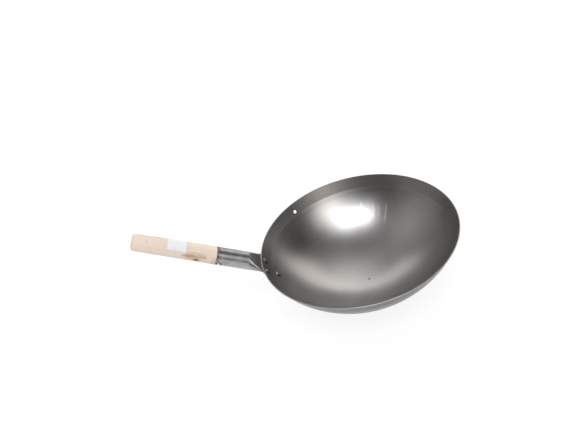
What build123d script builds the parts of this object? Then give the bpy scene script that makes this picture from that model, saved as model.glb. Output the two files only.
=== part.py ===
from build123d import *
from math import asin, atan2, cos, degrees, radians, sin, sqrt, tan
import os

# Carbon steel wok: a spun round-bottomed bowl with a short straight collar, and one long handle.
# A steel tube is pinched flat at one end and riveted to the outside of the bowl. A turned wooden grip
# is pushed into its open end and held there by a nail.
# Origin: the lowest point of the round bottom, on the bowl's axis. +Z is up, the handle points to -X,
# and the near side is -Y.

# Bowl: the bottom is part of a ball, and the collar is a straight band from the ball to the rim
rim_diameter = 355.0
bowl_depth = 108.4
collar_slant = 22.8
sheet = 1.5
rim_edge_chamfer = 0.4
centre_mark_diameter = 3.4
centre_mark_depth = 0.6

# Hanging hole, drilled square to the collar
hang_hole_diameter = 7.0
hang_hole_drop = 16.0
hang_hole_azimuth = 127.0

# Handle socket: a tube pinched to a double sheet, whose flange lies on the outside of the bowl
handle_azimuth = 180.0
handle_pitch = 31.4
tube_diameter = 32.0
tube_wall = 1.6
socket_length = 81.5
pinch_length = 24.0
pinch_closed_length = 6.0
pinch_hollow_radius = 3.0
facet_tip_width = 0.2
bend_radius = 4.0
bend_drop = 2.0
flange_width = 48.0
flange_length = 47.0
flange_tip_width = 21.0
flange_shoulder_drop = 14.0
flange_shoulder_round = 16.0
flange_tip_round = 9.0
flange_seat_gap = 0.05
mouth_edge_chamfer = 0.4

# Rivets: three, in a triangle set a little to the near side, with a hammered head inside the bowl
rivet_shank_diameter = 4.6
rivet_head_diameter = 8.0
rivet_head_shoulder_diameter = 6.4
rivet_head_top_diameter = 3.2
rivet_head_shoulder_height = 1.4
rivet_head_height = 2.2
rivet_tail_diameter = 8.4
rivet_tail_top_diameter = 6.0
rivet_tail_height = 1.8
rivet_spacing = 30.0
rivet_upper_drop = 9.0
rivet_upper_offset = 4.0
rivet_lower_drop = 37.5
rivet_lower_offset = 6.5
rivet_hole_gap = 0.1
rivet_seat_gap = 0.06

# Wooden grip
grip_length = 146.5
grip_end_diameter = 30.0
grip_shoulder_gap = 0.3
grip_shoulder_chamfer = 0.6
grip_end_round = 4.5
tenon_length = 44.0
tenon_gap = 0.15
tenon_lead = 1.6

# Nail through the socket into the grip
nail_inset = 6.5
nail_angle = -27.0
nail_shank_diameter = 2.2
nail_length = 13.0
nail_tip_length = 3.0
nail_tip_diameter = 0.5
nail_head_diameter = 5.8
nail_head_height = 1.2
nail_head_top_diameter = 4.6
nail_head_edge = 0.8
nail_dimple_diameter = 8.4
nail_dimple_angle = 90.0
nail_gap = 0.05

# One overrun for every cut that goes right through
cut_overrun = 8.0

# Sizes that follow from those above
tube_radius = tube_diameter / 2
bore_radius = tube_radius - tube_wall
flange_thickness = 2 * tube_wall
rim_radius = rim_diameter / 2
bowl_radius = (rim_radius**2 + bowl_depth**2) / (2 * bowl_depth)
rim_angle = degrees(atan2(rim_radius, bowl_radius - bowl_depth))
collar_turn = 2 * degrees(asin(collar_slant / (2 * bowl_radius)))
collar_angle = rim_angle - collar_turn / 2
collar_foot_angle = rim_angle - collar_turn
near_side = Vector(0, -1, 0)


def wall_plane(drop, azimuth):
    """The plane on the outside of the bowl, a distance down the wall from the rim. Its Z axis points
    out of the wall and its Y axis points up the wall."""
    if drop < collar_slant:
        slope = collar_angle
        radius = rim_radius - drop * cos(radians(slope))
        height = bowl_depth - drop * sin(radians(slope))
    else:
        slope = collar_foot_angle - degrees((drop - collar_slant) / bowl_radius)
        radius = bowl_radius * sin(radians(slope))
        height = bowl_radius - bowl_radius * cos(radians(slope))
    turn = radians(azimuth)
    outward = Vector(cos(turn) * sin(radians(slope)), sin(turn) * sin(radians(slope)), -cos(radians(slope)))
    place = Vector(radius * cos(turn), radius * sin(turn), height)
    return Plane(origin=place, x_dir=Vector(-sin(turn), cos(turn), 0), z_dir=outward)


def wall_band(nearest, farthest):
    """A ring that follows the outside of the bowl, between two distances from it."""
    with BuildPart() as band:
        for distance, how in ((farthest, Mode.ADD), (nearest, Mode.SUBTRACT)):
            with BuildSketch(Plane.XZ):
                with BuildLine():
                    bottom = CenterArc((0, bowl_radius), bowl_radius, -90, collar_foot_angle)
                    Line(bottom @ 1, (rim_radius, bowl_depth))
                    offset(amount=distance, side=Side.RIGHT)
                make_face()
            revolve(axis=Axis.Z, mode=how)
    return band.part


# The flange goes up the wall, and bends away from it to the pitch of the handle
flange_plane = wall_plane(bend_drop, handle_azimuth)
bend_centre = flange_plane.origin + flange_plane.z_dir * (
    flange_seat_gap + flange_thickness / 2 + bend_radius
)


def bend_plane(share):
    """The plane across the flange, at a share of the bend between the wall and the handle."""
    pitch = radians(collar_angle + share * (handle_pitch - collar_angle))
    upward = Vector(sin(pitch), 0, cos(pitch))
    ahead = Vector(-cos(pitch), 0, sin(pitch))
    return Plane(origin=bend_centre + upward * bend_radius, x_dir=near_side, z_dir=ahead)


# Sections of the handle are drawn across it, or from its near side
across = bend_plane(1)
from_side = Plane(origin=across.origin, x_dir=across.y_dir, z_dir=near_side)
handle_axis = Axis(across.origin, across.z_dir)


def curved_flange(plane, turn_radius):
    """The flange cut across, curved like the wall."""
    half = flange_thickness / 2
    reach = degrees(asin(flange_width / 2 / turn_radius))
    with BuildSketch(plane) as section:
        with BuildLine():
            inner = CenterArc((0, turn_radius), turn_radius - half, -90 - reach, 2 * reach)
            outer = CenterArc((0, turn_radius), turn_radius + half, -90 - reach, 2 * reach)
            Line(inner @ 0, outer @ 0)
            Line(inner @ 1, outer @ 1)
        make_face()
    return section.sketch


def rivet_plane(drop, aside):
    """A rivet's place on the wall, at a distance from the handle's middle toward the near side."""
    turn_radius = abs(wall_plane(drop, handle_azimuth).origin.X)
    return wall_plane(drop, handle_azimuth + degrees(asin(aside / turn_radius)))


# Rivet places, named by the side that they are on
rivet_planes = {
    "rivet_upper_far": rivet_plane(rivet_upper_drop, rivet_upper_offset - rivet_spacing / 2),
    "rivet_upper_near": rivet_plane(rivet_upper_drop, rivet_upper_offset + rivet_spacing / 2),
    "rivet_lower": rivet_plane(rivet_lower_drop, rivet_lower_offset),
}

# Nail place, on the outside of the tube near its mouth
nail_direction = across.x_dir * cos(radians(nail_angle)) + across.y_dir * sin(radians(nail_angle))
nail_plane = Plane(
    origin=across.offset(socket_length - nail_inset).origin + nail_direction * tube_radius,
    x_dir=across.z_dir,
    z_dir=nail_direction,
)

# Bowl
with BuildPart() as wok_bowl:
    with BuildSketch(Plane.XZ):
        with BuildLine():
            bottom = CenterArc((0, bowl_radius), bowl_radius, -90, collar_foot_angle)
            Line(bottom @ 1, (rim_radius, bowl_depth))
            offset(amount=sheet, side=Side.LEFT)
        make_face()
    revolve(axis=Axis.Z)
    rim_edges = wok_bowl.edges().filter_by(GeomType.CIRCLE).sort_by(Axis.Z)[-2:]
    chamfer(rim_edges, length=rim_edge_chamfer)
    with Locations(*rivet_planes.values()):
        Cylinder(rivet_shank_diameter / 2 + rivet_hole_gap, 2 * cut_overrun, mode=Mode.SUBTRACT)
    with Locations(wall_plane(hang_hole_drop, hang_hole_azimuth)):
        Cylinder(hang_hole_diameter / 2, 2 * cut_overrun, mode=Mode.SUBTRACT)
    with Locations((0, 0, sheet)):
        Cone(0, centre_mark_diameter, 2 * centre_mark_depth, mode=Mode.SUBTRACT)

# Handle socket
wall_turn_radius = abs(flange_plane.origin.X) / sin(radians(collar_angle)) + flange_thickness / 2
shield_half = (
    (flange_width / 2, 0),
    (flange_width / 2, -flange_shoulder_drop),
    (flange_tip_width / 2, bend_drop - flange_length),
)

with BuildPart() as handle_socket:
    add(wall_band(flange_seat_gap, flange_seat_gap + flange_thickness))
    with BuildSketch(flange_plane):
        with BuildLine():
            Polyline(*shield_half, *((-x, y) for x, y in reversed(shield_half)), close=True)
        shield = make_face()
        tip_corners, shoulder_corners, top_corners = shield.vertices().group_by(Axis.Y)
        fillet(tip_corners, radius=flange_tip_round)
        fillet(shoulder_corners, radius=flange_shoulder_round)
    extrude(amount=cut_overrun, both=True, mode=Mode.INTERSECT)
    flange_top = handle_socket.faces().filter_by(GeomType.PLANE).sort_by(Axis.Z)[-1]
    halfway = curved_flange(bend_plane(0.5), 2 * wall_turn_radius)
    with BuildSketch(across, mode=Mode.PRIVATE) as bent:
        Rectangle(flange_width, flange_thickness)
    loft(sections=[flange_top, halfway, bent.sketch])
    with BuildSketch(across):
        SlotCenterToCenter(flange_width - flange_thickness, flange_thickness)
    with BuildSketch(across.offset(pinch_length)):
        SlotCenterToCenter(facet_tip_width, tube_diameter)
    loft(ruled=True)
    with BuildSketch(across.offset(pinch_length)):
        Circle(tube_radius)
    extrude(amount=socket_length - pinch_length)
    mouth = handle_socket.edges().filter_by(GeomType.CIRCLE).sort_by(handle_axis)[-1]
    chamfer(mouth, length=mouth_edge_chamfer)
    with BuildSketch(across.offset(pinch_length)):
        Circle(bore_radius)
    extrude(amount=socket_length - pinch_length, mode=Mode.SUBTRACT)
    with Locations(across.offset((pinch_length + pinch_closed_length) / 2)):
        Cone(pinch_hollow_radius, bore_radius, pinch_length - pinch_closed_length, mode=Mode.SUBTRACT)
    with Locations(*rivet_planes.values()):
        Cylinder(rivet_shank_diameter / 2 + rivet_hole_gap, 2 * cut_overrun, mode=Mode.SUBTRACT)
    with Locations(nail_plane):
        CounterSinkHole(
            nail_shank_diameter / 2 + nail_gap, nail_dimple_diameter / 2, tube_wall + tenon_gap, nail_dimple_angle
        )

# Wooden grip, turned about the handle's axis
grip_start = socket_length + grip_shoulder_gap
tenon_radius = bore_radius - tenon_gap
tenon_start = socket_length - tenon_length
with BuildPart() as wooden_grip:
    with BuildSketch(from_side):
        with BuildLine():
            Polyline(
                (0, tenon_start),
                (tenon_radius - tenon_lead, tenon_start),
                (tenon_radius, tenon_start + tenon_lead),
                (tenon_radius, grip_start),
                (tube_radius, grip_start),
                (grip_end_diameter / 2, grip_start + grip_length),
                (0, grip_start + grip_length),
                close=True,
            )
        make_face()
    revolve(axis=handle_axis)
    end_edge = wooden_grip.edges().filter_by(GeomType.CIRCLE).sort_by(handle_axis)[-1]
    fillet(end_edge, radius=grip_end_round)
    shoulder_edge = wooden_grip.edges().filter_by(GeomType.CIRCLE).sort_by(SortBy.RADIUS)[-1]
    chamfer(shoulder_edge, length=grip_shoulder_chamfer)
    with Locations(nail_plane):
        Hole(nail_shank_diameter / 2 + nail_gap, nail_length + nail_gap)


# Rivets, each turned about a line square to the wall
head_base = -sheet - rivet_seat_gap
tail_base = flange_seat_gap + flange_thickness + rivet_seat_gap
rivets = {}
for name, place in rivet_planes.items():
    with BuildPart() as rivets[name]:
        with BuildSketch(Plane(origin=place.origin, x_dir=place.x_dir, z_dir=-place.y_dir)):
            with BuildLine():
                Polyline(
                    (0, head_base - rivet_head_height),
                    (0, tail_base + rivet_tail_height),
                    (rivet_tail_top_diameter / 2, tail_base + rivet_tail_height),
                    (rivet_tail_diameter / 2, tail_base),
                    (rivet_shank_diameter / 2, tail_base),
                    (rivet_shank_diameter / 2, head_base),
                    (rivet_head_diameter / 2, head_base),
                    (rivet_head_shoulder_diameter / 2, head_base - rivet_head_shoulder_height),
                    (rivet_head_top_diameter / 2, head_base - rivet_head_height),
                    close=True,
                )
            make_face()
        revolve(axis=Axis(place.origin, place.z_dir))

# Nail, whose head lies in the dimple
nail_head_depth = (nail_dimple_diameter - nail_head_diameter) / 2 / tan(radians(nail_dimple_angle / 2))
nail_head_base = nail_gap - nail_head_depth
with BuildPart() as socket_nail:
    with BuildSketch(Plane(origin=nail_plane.origin, x_dir=nail_plane.x_dir, z_dir=-nail_plane.y_dir)):
        with BuildLine():
            Polyline(
                (0, -nail_length),
                (nail_tip_diameter / 2, -nail_length),
                (nail_shank_diameter / 2, nail_tip_length - nail_length),
                (nail_shank_diameter / 2, nail_head_base),
                (nail_head_diameter / 2, nail_head_base),
                (nail_head_diameter / 2, nail_head_base + nail_head_edge),
                (nail_head_top_diameter / 2, nail_head_base + nail_head_height),
                (0, nail_head_base + nail_head_height),
                close=True,
            )
        make_face()
    revolve(axis=Axis(nail_plane.origin, nail_plane.z_dir))

pieces = {
    "wok_bowl": wok_bowl.part,
    "handle_socket": handle_socket.part,
    "wooden_grip": wooden_grip.part,
    "socket_nail": socket_nail.part,
}
pieces.update({name: rivet.part for name, rivet in rivets.items()})
os.makedirs("parts", exist_ok=True)
for name, piece in pieces.items():
    piece.label = name
    export_step(piece, f"parts/{name}.step")
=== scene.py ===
import math
import bmesh
import bpy
from mathutils import Matrix, Vector


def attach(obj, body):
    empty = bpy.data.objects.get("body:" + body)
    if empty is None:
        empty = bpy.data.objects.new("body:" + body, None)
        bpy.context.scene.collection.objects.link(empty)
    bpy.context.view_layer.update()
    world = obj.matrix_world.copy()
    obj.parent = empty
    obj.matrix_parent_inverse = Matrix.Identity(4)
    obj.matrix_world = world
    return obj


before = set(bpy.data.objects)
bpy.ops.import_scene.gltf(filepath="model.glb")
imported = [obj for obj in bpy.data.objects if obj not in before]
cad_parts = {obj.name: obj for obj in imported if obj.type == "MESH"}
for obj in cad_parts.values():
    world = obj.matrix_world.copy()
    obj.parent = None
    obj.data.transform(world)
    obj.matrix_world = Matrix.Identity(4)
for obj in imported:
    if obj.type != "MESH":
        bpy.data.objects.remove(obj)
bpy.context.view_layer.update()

print("frame loaded:", len(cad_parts), "pieces")


# Small helpers for shader trees

def addNode(tree, kind, inputs=None, **settings):
    node = tree.nodes.new(kind)
    for name, value in settings.items():
        setattr(node, name, value)
    for name, value in (inputs or {}).items():
        if isinstance(value, bpy.types.NodeSocket):
            tree.links.new(value, node.inputs[name])
        else:
            node.inputs[name].default_value = value
    return node


def maths(tree, operation, *values):
    return addNode(tree, "ShaderNodeMath", dict(enumerate(values)), operation=operation).outputs[0]


def plus(tree, first, second):
    return maths(tree, "ADD", first, second)


def minus(tree, first, second):
    return maths(tree, "SUBTRACT", first, second)


def times(tree, first, *others):
    for other in others:
        first = maths(tree, "MULTIPLY", first, other)
    return first


def vectorMaths(tree, operation, *values):
    return addNode(tree, "ShaderNodeVectorMath", dict(enumerate(values)), operation=operation).outputs


# Maps one range of values onto another and holds the result at both ends

def between(tree, value, low, high, atLow=0.0, atHigh=1.0, curve="SMOOTHSTEP"):
    sockets = {"Value": value, "From Min": low, "From Max": high, "To Min": atLow, "To Max": atHigh}
    return addNode(tree, "ShaderNodeMapRange", sockets, interpolation_type=curve).outputs["Result"]


def mixLevels(tree, share, first, second):
    return addNode(tree, "ShaderNodeMix", {0: share, 2: first, 3: second}).outputs[0]


def mixColors(tree, share, first, second, blend="MIX"):
    sockets = {0: share, 6: first, 7: second}
    return addNode(tree, "ShaderNodeMix", sockets, data_type="RGBA", blend_type=blend).outputs[2]


def joinXyz(tree, x, y, z):
    return addNode(tree, "ShaderNodeCombineXYZ", {"X": x, "Y": y, "Z": z}).outputs[0]


def splitXyz(tree, place):
    return addNode(tree, "ShaderNodeSeparateXYZ", {0: place}).outputs


def stretched(tree, parts, scales):
    return joinXyz(tree, *[times(tree, part, scale) for part, scale in zip(parts, scales)])


def toned(tree, color, tone):
    return mixColors(tree, 1.0, color, joinXyz(tree, tone, tone, tone), "MULTIPLY")


def noise(tree, place, scale, detail=2.0, roughness=0.5, distortion=0.0):
    sockets = {
        "Vector": place, "Scale": scale, "Detail": detail, "Roughness": roughness, "Distortion": distortion,
    }
    return addNode(tree, "ShaderNodeTexNoise", sockets).outputs["Fac"]


# Most of a noise lies between these two levels

noiseSpread = (0.3, 0.7)


def fromNoise(tree, value, levels, curve="SMOOTHSTEP"):
    return between(tree, value, *noiseSpread, *levels, curve)


def bump(tree, height, distance, under=None):
    sockets = {"Height": height, "Distance": distance}
    if under is not None:
        sockets["Normal"] = under
    return addNode(tree, "ShaderNodeBump", sockets).outputs[0]


def farFrom(tree, place, point):
    return vectorMaths(tree, "DISTANCE", place, point)["Value"]


# A round mark with a soft edge, which is given in shares of its radius

def roundMark(tree, far, mark, inMark, beyond):
    inner, outer = [mark["radius"] * edge for edge in mark["edges"]]
    return between(tree, far, inner, outer, inMark, beyond)


def shareOf(ends, share):
    return ends[0] + share * (ends[1] - ends[0])


def objectPlace(tree):
    return addNode(tree, "ShaderNodeTexCoord").outputs["Object"]


def newMaterial(name, **sockets):
    material = bpy.data.materials.new(name)
    material.use_nodes = True
    shader = material.node_tree.nodes["Principled BSDF"]
    for socketName, value in sockets.items():
        shader.inputs[socketName.replace("_", " ")].default_value = value
    return material, material.node_tree, shader


def linkShader(tree, shader, **sockets):
    for socketName, value in sockets.items():
        tree.links.new(value, shader.inputs[socketName.replace("_", " ")])


def grey(level, warmth=0.0):
    return (level * (1 + warmth), level, level * (1 - warmth), 1)


def dress(nodeName, material, sharpFrom=30):
    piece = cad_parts[nodeName]
    piece.data.materials.clear()
    piece.data.materials.append(material)
    piece.data.polygons.foreach_set("use_smooth", [True] * len(piece.data.polygons))
    piece.data.set_sharp_from_angle(angle=math.radians(sharpFrom))


# Bowl: places on its wall are a distance down from the rim and an azimuth, or a distance aside

bowl = {
    "rimDiameter": 0.355,
    "depth": 0.1084,
    "collarSlant": 0.0228,
    "sheet": 0.0015,
    "steel": 0.32,
    "warmth": 0.010,
    "temper": {"color": (1.0, 0.86, 0.78, 1), "from": 0.4, "to": 0.65, "share": 0.35},
    "roughness": 0.30,
    "collarRoughness": 0.34,
    "creaseSoftness": 0.003,
    "rim": {"band": 0.0007, "tone": 0.95, "roughness": 0.36},
    "outsideShadeTone": 0.3,
    "sideSoftness": 0.1,
    "oilFilm": 0.35,
    "oilRoughness": 0.12,
    "rings": {"pitch": 0.0013, "around": 3.0, "tones": (0.97, 1.03)},
    "patches": {"size": 0.06, "tones": (0.95, 1.05), "roughness": (-0.02, 0.02)},
    "smearSize": 0.15,
    "brush": {"around": 70.0, "up": 12.0, "tones": (0.86, 0.94)},
    "creaseMarks": {"below": (0.0035, 0.0065), "wide": 0.0006, "share": 0.34, "smears": (0.35, 0.6)},
    "strokes": [
        {"azimuth": 80.2, "wide": 0.0032, "from": 0.136, "to": 0.147, "share": 0.22},
        {"azimuth": 71.0, "wide": 0.0026, "from": 0.122, "to": 0.144, "share": 0.28},
        {"azimuth": 66.5, "wide": 0.0020, "from": 0.124, "to": 0.142, "share": 0.2},
        {"azimuth": 60.4, "wide": 0.0026, "from": 0.119, "to": 0.143, "share": 0.38},
    ],
    "strokeEnds": {"from": (-0.006, 0.006), "to": (-0.002, 0.004)},
    "strokeTone": 2.2,
    "strokeRoughness": 0.42,
    "centreMark": {"radius": 0.0019, "edges": (0.8, 1.2), "share": 0.7},
    "hangHole": {"drop": 0.016, "azimuth": 127.0, "radius": 0.0035, "shadeWide": 0.0022, "shadeTone": 0.22},
    "rivets": [(0.009, -0.011), (0.009, 0.019), (0.0375, 0.0065)],
    "rivetShadow": {"down": 0.0022, "aside": 0.0026, "radius": 0.0054, "edges": (0.6, 1.15), "tone": 0.15},
}
rimRadius = bowl["rimDiameter"] / 2
ballRadius = (rimRadius**2 + bowl["depth"] ** 2) / (2 * bowl["depth"])
rimAngle = math.atan2(rimRadius, ballRadius - bowl["depth"])
collarTurn = 2 * math.asin(bowl["collarSlant"] / (2 * ballRadius))
collarFoot = ballRadius * (1 - math.cos(rimAngle - collarTurn))
nearAxis = 0.0005  # keeps directions finite on the axis itself


# Distance from the upright axis, the direction round it as a point on a unit circle, and the height

def aroundAxis(tree, place):
    x, y, height = splitXyz(tree, place)
    radius = maths(tree, "SQRT", plus(tree, maths(tree, "POWER", x, 2.0), maths(tree, "POWER", y, 2.0)))
    safe = maths(tree, "MAXIMUM", radius, nearAxis)
    return radius, maths(tree, "DIVIDE", x, safe), maths(tree, "DIVIDE", y, safe), height


# A place on the inside of the wall

def onWall(drop, azimuth):
    if drop < bowl["collarSlant"]:
        slope = rimAngle - collarTurn / 2
        outer = (rimRadius - drop * math.cos(slope), bowl["depth"] - drop * math.sin(slope))
    else:
        slope = rimAngle - collarTurn - (drop - bowl["collarSlant"]) / ballRadius
        outer = (ballRadius * math.sin(slope), ballRadius * (1 - math.cos(slope)))
    radius = outer[0] - bowl["sheet"] * math.sin(slope)
    turn = math.radians(azimuth)
    return (radius * math.cos(turn), radius * math.sin(turn), outer[1] + bowl["sheet"] * math.cos(slope))


# One along a short stroke that runs up the wall, falling to zero at its edges

def wallStroke(tree, place, stroke, ends):
    turn = math.radians(stroke["azimuth"])
    aside = vectorMaths(tree, "DOT_PRODUCT", place, (-math.sin(turn), math.cos(turn), 0))["Value"]
    ahead = vectorMaths(tree, "DOT_PRODUCT", place, (math.cos(turn), math.sin(turn), 0))["Value"]
    foot = [stroke["from"] + end for end in ends["from"]]
    top = [stroke["to"] + end for end in ends["to"]]
    level = between(tree, maths(tree, "ABSOLUTE", aside), 0.0, stroke["wide"], stroke["share"], 0.0)
    return times(tree, level, between(tree, ahead, *foot), between(tree, ahead, *top, 1.0, 0.0))


# Polishing lines below the crease, and the mark of the lathe's centre, both on the inside alone

def insideMarks(tree, tone, radius, height, smears, inside, settings):
    crease = settings["creaseMarks"]
    for below in crease["below"]:
        away = maths(tree, "ABSOLUTE", minus(tree, height, collarFoot - below))
        ring = between(tree, away, 0.0, crease["wide"], crease["share"], 0.0)
        ring = times(tree, ring, inside, between(tree, smears, *crease["smears"]))
        tone = times(tree, tone, minus(tree, 1.0, ring))
    mark = settings["centreMark"]
    marked = roundMark(tree, radius, mark, mark["share"], 0.0)
    return times(tree, tone, minus(tree, 1.0, times(tree, marked, inside)))


# Painted shadow beside each rivet head, and painted shade round the edge of the hanging hole

def wallShade(tree, tone, place, settings):
    # Painted shadow: a dark patch offset down and aside from each rivet head
    shadow = settings["rivetShadow"]
    for drop, aside in settings["rivets"]:
        turn = math.degrees((aside + shadow["aside"]) / rimRadius)
        far = farFrom(tree, place, onWall(drop + shadow["down"], 180 + turn))
        tone = times(tree, tone, roundMark(tree, far, shadow, shadow["tone"], 1.0))
    # Painted shade: a dark ring round the hanging hole
    hole = settings["hangHole"]
    far = farFrom(tree, place, onWall(hole["drop"], hole["azimuth"]))
    shadeEdge = hole["radius"] + hole["shadeWide"]
    return times(tree, tone, between(tree, far, hole["radius"], shadeEdge, hole["shadeTone"], 1.0))


def bowlSteel(settings):
    material, tree, shader = newMaterial(
        "spunCarbonSteel", Metallic=1.0, Coat_Roughness=settings["oilRoughness"]
    )
    coordinates = addNode(tree, "ShaderNodeTexCoord").outputs
    place = coordinates["Object"]
    radius, acrossX, acrossY, height = aroundAxis(tree, place)
    soft, rim, depth = settings["creaseSoftness"], settings["rim"], settings["depth"]
    onCollar = between(tree, height, collarFoot - soft, collarFoot + soft)
    onRim = between(tree, height, depth - rim["band"], depth - rim["band"] / 2)
    side = settings["sideSoftness"]
    inside = between(tree, splitXyz(tree, coordinates["Normal"])[2], -side, side)

    # Faint rings from the spinning lathe, broad patches and smears, and the collar's upright brushing
    ringed, patched, brushed = settings["rings"], settings["patches"], settings["brush"]
    around = (radius, acrossX, acrossY)
    ringPlace = stretched(tree, around, (1 / ringed["pitch"], ringed["around"], ringed["around"]))
    rings = noise(tree, ringPlace, 1.0, roughness=0.6)
    patches = noise(tree, place, 1 / patched["size"], detail=4.0, roughness=0.6)
    smears = noise(tree, place, 1 / settings["smearSize"], detail=3.0, roughness=0.55, distortion=1.0)
    upright = (acrossX, acrossY, height)
    brushPlace = stretched(tree, upright, (brushed["around"], brushed["around"], brushed["up"]))
    brush = noise(tree, brushPlace, 1.0, roughness=0.6)
    tone = fromNoise(tree, patches, patched["tones"], "LINEAR")
    tone = times(tree, tone, fromNoise(tree, rings, ringed["tones"], "LINEAR"))
    lined = fromNoise(tree, brush, brushed["tones"], "LINEAR")
    tone = times(tree, tone, mixLevels(tree, onCollar, 1.0, lined))
    tone = insideMarks(tree, tone, radius, height, smears, inside, settings)

    # Painted shade darkens the outside for the shadowed floor it reflects; the cut edge of the rim is
    # nearly as bright as the sanded inside
    tone = times(tree, tone, between(tree, inside, 0.0, 1.0, settings["outsideShadeTone"], 1.0))
    tone = mixLevels(tree, onRim, tone, rim["tone"])
    tone = wallShade(tree, tone, place, settings)
    temper = settings["temper"]
    tempered = between(tree, smears, temper["from"], temper["to"], 0.0, temper["share"])
    tint = mixColors(tree, tempered, (1, 1, 1, 1), temper["color"])
    base = toned(tree, grey(settings["steel"], settings["warmth"]), tone)
    base = mixColors(tree, 1.0, base, tint, "MULTIPLY")

    rough = between(tree, onCollar, 0.0, 1.0, settings["roughness"], settings["collarRoughness"])
    rough = plus(tree, rough, fromNoise(tree, patches, patched["roughness"], "LINEAR"))
    rough = mixLevels(tree, onRim, rough, rim["roughness"])
    for stroke in settings["strokes"]:
        polish = times(tree, wallStroke(tree, place, stroke, settings["strokeEnds"]), inside)
        base = mixColors(tree, polish, base, grey(settings["steel"] * settings["strokeTone"]))
        rough = mixLevels(tree, polish, rough, settings["strokeRoughness"])
    oil = between(tree, inside, 0.0, 1.0, 0.0, settings["oilFilm"])
    linkShader(tree, shader, Base_Color=base, Roughness=rough, Coat_Weight=oil)
    return material


dress("wok_bowl", bowlSteel(bowl))
print("bowl dressed")


# Handle: every place on it is a distance along the handle's axis and an angle round it

handle = {
    "start": (-0.17927, 0.0, 0.10723),
    "pitch": 31.4,
    "tubeDiameter": 0.032,
    "mouth": 0.0815,
    "gripLength": 0.1465,
    "gripEndDiameter": 0.030,
}
handleTurn = Matrix.Rotation(math.radians(180 + handle["pitch"]), 3, "Y")


# Texture place in the handle's own frame: X runs from the bowl to the butt, Z points down

def alongHandle(tree):
    sockets = {"Vector": objectPlace(tree), "Location": handle["start"], "Rotation": handleTurn.to_euler()}
    moved = addNode(tree, "ShaderNodeMapping", sockets, vector_type="TEXTURE").outputs[0]
    return moved, splitXyz(tree, moved)


# A point on the grip's surface in that frame: the angle is 0 on the near side and 90 on top

def roundGrip(along, angle, lift=0.0):
    share = (along - handle["mouth"]) / handle["gripLength"]
    radius = shareOf((handle["tubeDiameter"], handle["gripEndDiameter"]), share) / 2 + lift
    turn = math.radians(angle)
    return (along, -radius * math.cos(turn), -radius * math.sin(turn))


def onHandle(along, angle, lift=0.0):
    return Vector(handle["start"]) + handleTurn @ Vector(roundGrip(along, angle, lift))


# Socket, rivets and nail, all of drawn steel

drawn = {
    "along": 12.0,
    "patchScale": 55.0,
    "patchTones": (0.82, 1.1),
    "lineTones": (0.95, 1.05),
    "patchRoughness": (-0.04, 0.05),
    "lineRoughness": (-0.03, 0.03),
}
socket = {
    "steel": 0.31,
    "warmth": 0.0,
    "roughness": 0.36,
    "drawLines": 1400,
    "lineDepth": 0.00001,
    "flecks": {"along": 90.0, "across": 260.0, "spread": (0.48, 0.72), "share": 0.45},
    "scale": (0.17, 0.135, 0.105, 1),
    "mouthStain": {"from": 0.009, "to": 0.001, "share": 0.8, "flecks": (0.38, 0.6), "least": 0.25},
    "burn": (0.10, 0.065, 0.04, 1),
    "nailShade": {"along": 0.075, "angle": -26, "radius": 0.0056, "edges": (0.85, 1.1), "share": 0.95},
    "nailShadeColor": (0.02, 0.018, 0.016, 1),
    "bend": {"from": -0.0005, "to": 0.003, "share": 0.7},
    "bendColor": (0.05, 0.047, 0.045, 1),
}
rivet = {"steel": 0.22, "warmth": 0.0, "roughness": 0.52, "drawLines": 500, "lineDepth": 0.00002}
nail = {"steel": 0.55, "warmth": -0.01, "roughness": 0.2, "drawLines": 600, "lineDepth": 0.00003}


# Mill scale in small brown patches, a stain round the mouth, painted shade round the nail head, and
# # painted shade on the bend and the flange where the socket meets the bowl

def socketStains(tree, base, parts, settings):
    flecked, stained = settings["flecks"], settings["mouthStain"]
    fleckPlace = stretched(tree, parts, (flecked["along"], flecked["across"], flecked["across"]))
    flecks = noise(tree, fleckPlace, 1.0, detail=4.0, roughness=0.65)
    scaly = between(tree, flecks, *flecked["spread"], 0.0, flecked["share"])
    base = mixColors(tree, scaly, base, settings["scale"])
    mouth = handle["mouth"]
    stain = between(tree, parts[0], mouth - stained["from"], mouth - stained["to"], 0.0, stained["share"])
    stain = times(tree, stain, between(tree, flecks, *stained["flecks"], stained["least"], 1.0))
    base = mixColors(tree, stain, base, settings["burn"])
    # Painted shade: a near-black ring in the dimple round the nail head
    nailShadeRing = settings["nailShade"]
    far = farFrom(tree, objectPlace(tree), onHandle(nailShadeRing["along"], nailShadeRing["angle"]))
    base = mixColors(tree, roundMark(tree, far, nailShadeRing, nailShadeRing["share"], 0.0), base, settings["nailShadeColor"])
    # Painted shade: the bend and flange next to the bowl are darkened
    bend = settings["bend"]
    bendShaded = between(tree, parts[0], bend["from"], bend["to"], bend["share"], 0.0)
    return mixColors(tree, bendShaded, base, settings["bendColor"])


def drawnSteel(name, settings, isSocket=False):
    material, tree, shader = newMaterial(name, Metallic=1.0)
    place, parts = alongHandle(tree)
    linePlace = stretched(tree, parts, (drawn["along"], settings["drawLines"], settings["drawLines"]))
    lines = noise(tree, linePlace, 1.0, detail=3.0, roughness=0.6)
    patches = noise(tree, place, drawn["patchScale"], detail=3.0)
    tone = fromNoise(tree, patches, drawn["patchTones"])
    tone = times(tree, tone, fromNoise(tree, lines, drawn["lineTones"]))
    base = toned(tree, grey(settings["steel"], settings["warmth"]), tone)
    if isSocket:
        base = socketStains(tree, base, parts, settings)
    rough = plus(tree, fromNoise(tree, patches, drawn["patchRoughness"]), settings["roughness"])
    rough = plus(tree, rough, fromNoise(tree, lines, drawn["lineRoughness"]))
    normal = bump(tree, lines, settings["lineDepth"])
    linkShader(tree, shader, Base_Color=base, Roughness=rough, Normal=normal)
    return material


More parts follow.
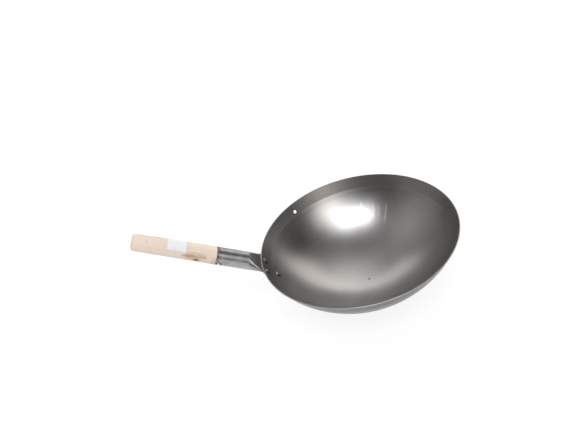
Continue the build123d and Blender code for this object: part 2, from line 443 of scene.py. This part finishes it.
dress("handle_socket", drawnSteel("drawnTubeSteel", socket, isSocket=True), sharpFrom=25)
rivetSteel = drawnSteel("rivetSteel", rivet)
for name in ("rivet_upper_far", "rivet_upper_near", "rivet_lower"):
    dress(name, rivetSteel, sharpFrom=60)
dress("socket_nail", drawnSteel("nailSteel", nail))
print("socket, rivets and nail dressed")


# Grip

grip = {
    "color": (0.83, 0.70, 0.595, 1),
    "darkGrain": (0.70, 0.555, 0.43, 1),
    "stainColor": (0.47, 0.295, 0.155, 1),
    "roughness": (0.63, 0.53),
    "wanderScale": 18.0,
    "grain": {"along": 10.0, "across": 260.0, "spread": (0.42, 0.72), "share": 0.5, "depth": 0.00008},
    "pores": {"along": 60.0, "across": 1700.0, "spread": (0.6, 0.75), "share": 0.25, "depth": 0.00003},
    "patches": {"scale": 35.0, "spread": (0.45, 0.75), "share": 0.25},
    "ragged": 0.25,
    "knot": {"along": 0.1158, "angle": -19, "long": 0.0052, "wide": 0.0036},
    "knotRagged": 0.5,
    "knotRings": [
        {"edges": (0.9, 1.9), "share": 0.45, "color": (0.47, 0.295, 0.155, 1)},
        {"edges": (0.55, 1.0), "share": 0.95, "color": (0.10, 0.055, 0.03, 1)},
    ],
    "stainEdges": (0.2, 1.15),
    "stains": [
        {"along": 0.128, "angle": 6, "long": 0.016, "wide": 0.0085, "share": 0.9},
        {"along": 0.112, "angle": 12, "long": 0.018, "wide": 0.0085, "share": 0.6},
        {"along": 0.1025, "angle": 14, "long": 0.0034, "wide": 0.0024, "share": 0.95},
        {"along": 0.124, "angle": 13, "long": 0.0026, "wide": 0.0016, "share": 0.7},
        {"along": 0.205, "angle": 52, "long": 0.0024, "wide": 0.0024, "share": 0.35},
        {"along": 0.184, "angle": 118, "long": 0.019, "wide": 0.005, "share": 0.7},
        {"along": 0.086, "angle": -18, "long": 0.006, "wide": 0.010, "share": 0.45},
    ],
}


# How far a place is from the middle of an oval on the grip: 1 at the oval's edge

def fromOval(tree, place, oval):
    away = vectorMaths(tree, "SUBTRACT", place, roundGrip(oval["along"], oval["angle"]))[0]
    shrunk = vectorMaths(tree, "MULTIPLY", away, (1 / oval["long"], 1 / oval["wide"], 1 / oval["wide"]))[0]
    return vectorMaths(tree, "LENGTH", shrunk)["Value"]


def gripWood(settings):
    material, tree, shader = newMaterial("paleTurnedWood", Metallic=0.0)
    place, parts = alongHandle(tree)
    grained, pored, patched = settings["grain"], settings["pores"], settings["patches"]
    wander = noise(tree, place, settings["wanderScale"])
    grain = noise(tree, joinXyz(
        tree, times(tree, parts[0], grained["along"]),
        plus(tree, times(tree, parts[1], grained["across"]), wander),
        plus(tree, times(tree, parts[2], grained["across"]), wander)
    ), 1.0, detail=4.0, roughness=0.62)
    porePlace = stretched(tree, parts, (pored["along"], pored["across"], pored["across"]))
    pores = noise(tree, porePlace, 1.0, roughness=0.6)
    patches = noise(tree, place, patched["scale"], detail=3.0)
    base = settings["color"]
    for layer, look in ((grain, grained), (pores, pored), (patches, patched)):
        share = between(tree, layer, *look["spread"], 0.0, look["share"])
        base = mixColors(tree, share, base, settings["darkGrain"])

    # Stains and the knot, with edges that the grain makes ragged
    ragged = fromNoise(tree, grain, (-settings["ragged"], settings["ragged"]))
    for stain in settings["stains"]:
        far = plus(tree, fromOval(tree, place, stain), ragged)
        share = between(tree, far, *settings["stainEdges"], stain["share"], 0.0)
        base = mixColors(tree, share, base, settings["stainColor"])
    knotEdge = times(tree, ragged, settings["knotRagged"])
    far = plus(tree, fromOval(tree, place, settings["knot"]), knotEdge)
    for ring in settings["knotRings"]:
        base = mixColors(tree, between(tree, far, *ring["edges"], ring["share"], 0.0), base, ring["color"])
    rough = fromNoise(tree, grain, settings["roughness"])
    normal = bump(tree, pores, pored["depth"], under=bump(tree, grain, grained["depth"]))
    linkShader(tree, shader, Base_Color=base, Roughness=rough, Normal=normal)
    return material


dress("wooden_grip", gripWood(grip))
print("grip dressed")


# Blank paper label: two strips stuck round the grip, the second over the edge of the first

label = {
    "strips": [
        {
            "name": "label_left", "from": 0.1515, "to": 0.1690, "lift": 0.00014,
            "low": (24, 27), "high": (152, 150),
        },
        {
            "name": "label_right", "from": 0.1352, "to": 0.1545, "lift": 0.0003,
            "low": (23, 24.5), "high": (158, 156),
        },
    ],
    "color": (0.83, 0.82, 0.85, 1),
    "roughness": 0.42,
    "smudge": {"scale": 90.0, "spread": (0.4, 0.75), "share": 0.35, "depth": 0.0003},
    "smudgeColor": (0.74, 0.75, 0.82, 1),
    "fibres": {"scale": 1400.0, "depth": 0.00002},
    "thick": 0.0001,
    "cellsLong": 14,
    "cellsRound": 40,
}


def labelPaper(settings):
    material, tree, shader = newMaterial("blankPaper", Metallic=0.0, Roughness=settings["roughness"])
    place = objectPlace(tree)
    smudged, fibred = settings["smudge"], settings["fibres"]
    fibres = noise(tree, place, fibred["scale"], detail=3.0)
    smudge = noise(tree, place, smudged["scale"], detail=3.0)
    share = between(tree, smudge, *smudged["spread"], 0.0, smudged["share"])
    base = mixColors(tree, share, settings["color"], settings["smudgeColor"])
    normal = bump(tree, fibres, fibred["depth"], under=bump(tree, smudge, smudged["depth"]))
    linkShader(tree, shader, Base_Color=base, Normal=normal)
    return material


def labelStrip(strip, settings, material):
    mesh = bpy.data.meshes.new(strip["name"])
    work = bmesh.new()
    cellsLong, cellsRound = settings["cellsLong"], settings["cellsRound"]
    rows = []
    for i in range(cellsLong + 1):
        share = i / cellsLong
        along = shareOf((strip["from"], strip["to"]), share)
        turns = (shareOf(strip["low"], share), shareOf(strip["high"], share))
        row = []
        for j in range(cellsRound + 1):
            row.append(work.verts.new(onHandle(along, shareOf(turns, j / cellsRound), strip["lift"])))
        rows.append(row)
    for first, second in zip(rows, rows[1:]):
        for j in range(cellsRound):
            face = work.faces.new((first[j], first[j + 1], second[j + 1], second[j]))
            face.smooth = True
    work.normal_update()
    work.to_mesh(mesh)
    work.free()
    mesh.materials.append(material)
    piece = bpy.data.objects.new(strip["name"], mesh)
    bpy.context.scene.collection.objects.link(piece)
    solid = piece.modifiers.new("paperThickness", "SOLIDIFY")
    solid.thickness = settings["thick"]
    solid.offset = 0
    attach(piece, "root")


paper = labelPaper(label)
for strip in label["strips"]:
    labelStrip(strip, label, paper)
print("label made")


# Studio: a pale floor under a sky with two softboxes and a few broad glows

studio = {
    "floorHalf": 7.0,
    "floorColor": (0.86, 0.86, 0.86, 1),
    "floorRoughness": 0.9,
    "floorSeenShare": 0.16,
    "floorGlow": 0.88,
    "floorGlowInSteel": 0.5,
    "backdrop": 1.0,
    "horizon": 0.25,
    "zenith": 0.055,
    "horizonFades": (8, 30),
    "coolTint": (0.965, 1.0, 1.055, 1),
    "warmTint": (1.025, 1.0, 0.975, 1),
    "key": {"azimuth": -94.8, "elevation": 59.9, "wide": 70, "tall": 12, "soft": 5, "strength": 11.2},
    "strip": {"azimuth": 75, "elevation": 27, "wide": 99, "tall": 26, "soft": 6.5, "strength": 1.42},
    "glows": [
        {"azimuth": 70, "elevation": 49.3, "tightness": 10.4, "strength": 1.42},
        {"azimuth": 167.5, "elevation": 41.9, "tightness": 9.5, "strength": 0.7},
        {"azimuth": -61.4, "elevation": 44.1, "tightness": 25.8, "strength": 4.0},
    ],
}
degreesPerRadian = 180 / math.pi


def towards(azimuth, elevation):
    turn, rise = math.radians(azimuth), math.radians(elevation)
    return (math.cos(turn) * math.cos(rise), math.sin(turn) * math.cos(rise), math.sin(rise))


# A softbox in the sky: a band of azimuth and elevation with soft edges

def skySoftbox(tree, aroundX, aroundY, elevation, settings):
    turn = math.radians(settings["azimuth"])
    facing = plus(tree, times(tree, aroundX, math.cos(turn)), times(tree, aroundY, math.sin(turn)))
    aside = times(tree, maths(tree, "ARCCOSINE", maths(tree, "MINIMUM", facing, 1.0)), degreesPerRadian)
    above = maths(tree, "ABSOLUTE", minus(tree, elevation, settings["elevation"]))
    wide, tall, soft = settings["wide"] / 2, settings["tall"] / 2, settings["soft"]
    level = between(tree, aside, wide - soft, wide + soft, settings["strength"], 0.0, "LINEAR")
    return times(tree, level, between(tree, above, tall - soft, tall + soft, 1.0, 0.0, "LINEAR"))


def skyGlow(tree, direction, settings):
    middle = towards(settings["azimuth"], settings["elevation"])
    facing = vectorMaths(tree, "DOT_PRODUCT", direction, middle)["Value"]
    power = times(tree, minus(tree, facing, 1.0), settings["tightness"])
    return times(tree, maths(tree, "EXPONENT", power), settings["strength"])


# The camera sees the pale backdrop in place of the sky

def studioSky(settings):
    world = bpy.data.worlds.new("studioSky")
    world.use_nodes = True
    tree = world.node_tree
    tree.nodes.clear()
    direction = addNode(tree, "ShaderNodeTexCoord").outputs["Generated"]
    aroundX, aroundY, height = aroundAxis(tree, direction)[1:]
    elevation = times(tree, maths(tree, "ARCSINE", height), degreesPerRadian)
    level = between(tree, elevation, *settings["horizonFades"], settings["horizon"], settings["zenith"])
    level = plus(tree, level, skySoftbox(tree, aroundX, aroundY, elevation, settings["strip"]))
    for glow in settings["glows"]:
        level = plus(tree, level, skyGlow(tree, direction, glow))
    key = skySoftbox(tree, aroundX, aroundY, elevation, settings["key"])
    seen = addNode(tree, "ShaderNodeLightPath").outputs["Is Camera Ray"]
    warm = addNode(tree, "ShaderNodeBackground", {
        "Color": mixColors(tree, seen, settings["warmTint"], (1, 1, 1, 1)),
        "Strength": mixLevels(tree, seen, level, settings["backdrop"]),
    })
    cool = addNode(tree, "ShaderNodeBackground", {
        "Color": settings["coolTint"],
        "Strength": mixLevels(tree, seen, key, 0.0),
    })
    both = addNode(tree, "ShaderNodeAddShader", {0: warm.outputs[0], 1: cool.outputs[0]})
    output = addNode(tree, "ShaderNodeOutputWorld")
    tree.links.new(both.outputs[0], output.inputs[0])
    return world


# To the camera the floor is nearly white and keeps a faint shadow; from below it is clear

def paleFloor(settings):
    half = settings["floorHalf"]
    mesh = bpy.data.meshes.new("studioFloor")
    corners = [(-half, -half, 0), (half, -half, 0), (half, half, 0), (-half, half, 0)]
    mesh.from_pydata(corners, [], [(0, 1, 2, 3)])
    floor = bpy.data.objects.new("studioFloor", mesh)
    bpy.context.scene.collection.objects.link(floor)
    material, tree, shader = newMaterial(
        "paleFloor", Roughness=settings["floorRoughness"], Emission_Color=(1, 1, 1, 1)
    )
    mesh.materials.append(material)
    rays = addNode(tree, "ShaderNodeLightPath").outputs
    seen = maths(tree, "MAXIMUM", rays["Is Camera Ray"], rays["Is Transmission Ray"])
    share = between(tree, seen, 0.0, 1.0, 1.0, settings["floorSeenShare"], "LINEAR")
    base = mixColors(tree, share, (0, 0, 0, 1), settings["floorColor"])
    inSteel = times(tree, rays["Is Glossy Ray"], settings["floorGlowInSteel"])
    glow = plus(tree, times(tree, seen, settings["floorGlow"]), inSteel)
    linkShader(tree, shader, Base_Color=base, Emission_Strength=glow)
    below = addNode(tree, "ShaderNodeNewGeometry").outputs["Backfacing"]
    clear = addNode(tree, "ShaderNodeBsdfTransparent").outputs[0]
    either = addNode(tree, "ShaderNodeMixShader", {0: below, 1: shader.outputs[0], 2: clear})
    tree.links.new(either.outputs[0], tree.nodes["Material Output"].inputs[0])


bpy.context.scene.world = studioSky(studio)
paleFloor(studio)
print("studio lit")


# Camera: rolled like the photograph, whose wok leans toward its handle

camera = {
    "lens": 50.0,
    "sensor": 36.0,
    "frameWide": 577,
    "frameHigh": 433,
    "azimuth": -1.5,
    "elevation": 39.51,
    "distance": 1.416,
    "roll": 14.41,
    "rimCentrePixel": (358.0, 235.5),
}


def placeCamera(settings):
    azimuth, elevation = math.radians(settings["azimuth"]), math.radians(settings["elevation"])
    flat = math.cos(elevation)
    back = Vector((math.sin(azimuth) * flat, -math.cos(azimuth) * flat, math.sin(elevation)))
    right = Vector((math.cos(azimuth), math.sin(azimuth), 0))
    pixelsPerTangent = settings["lens"] / settings["sensor"] * settings["frameWide"]
    aside = (settings["rimCentrePixel"][0] - settings["frameWide"] / 2) / pixelsPerTangent
    above = (settings["frameHigh"] / 2 - settings["rimCentrePixel"][1]) / pixelsPerTangent
    aim = Vector((aside, above, -1)).normalized()
    swing = Vector((0, 0, -1)).rotation_difference(aim).to_matrix()
    roll = Matrix.Rotation(math.radians(settings["roll"]), 3, "Z")
    turn = (swing @ roll @ Matrix((right, back.cross(right), back))).transposed()
    data = bpy.data.cameras.new("photoCamera")
    data.lens = settings["lens"]
    data.sensor_width = settings["sensor"]
    eye = bpy.data.objects.new("photoCamera", data)
    bpy.context.scene.collection.objects.link(eye)
    rimCentre = Vector((0, 0, bowl["depth"]))
    eye.matrix_world = Matrix.Translation(rimCentre + back * settings["distance"]) @ turn.to_4x4()
    bpy.context.scene.camera = eye


placeCamera(camera)
bpy.context.scene.view_settings.view_transform = "Standard"
print("camera placed")
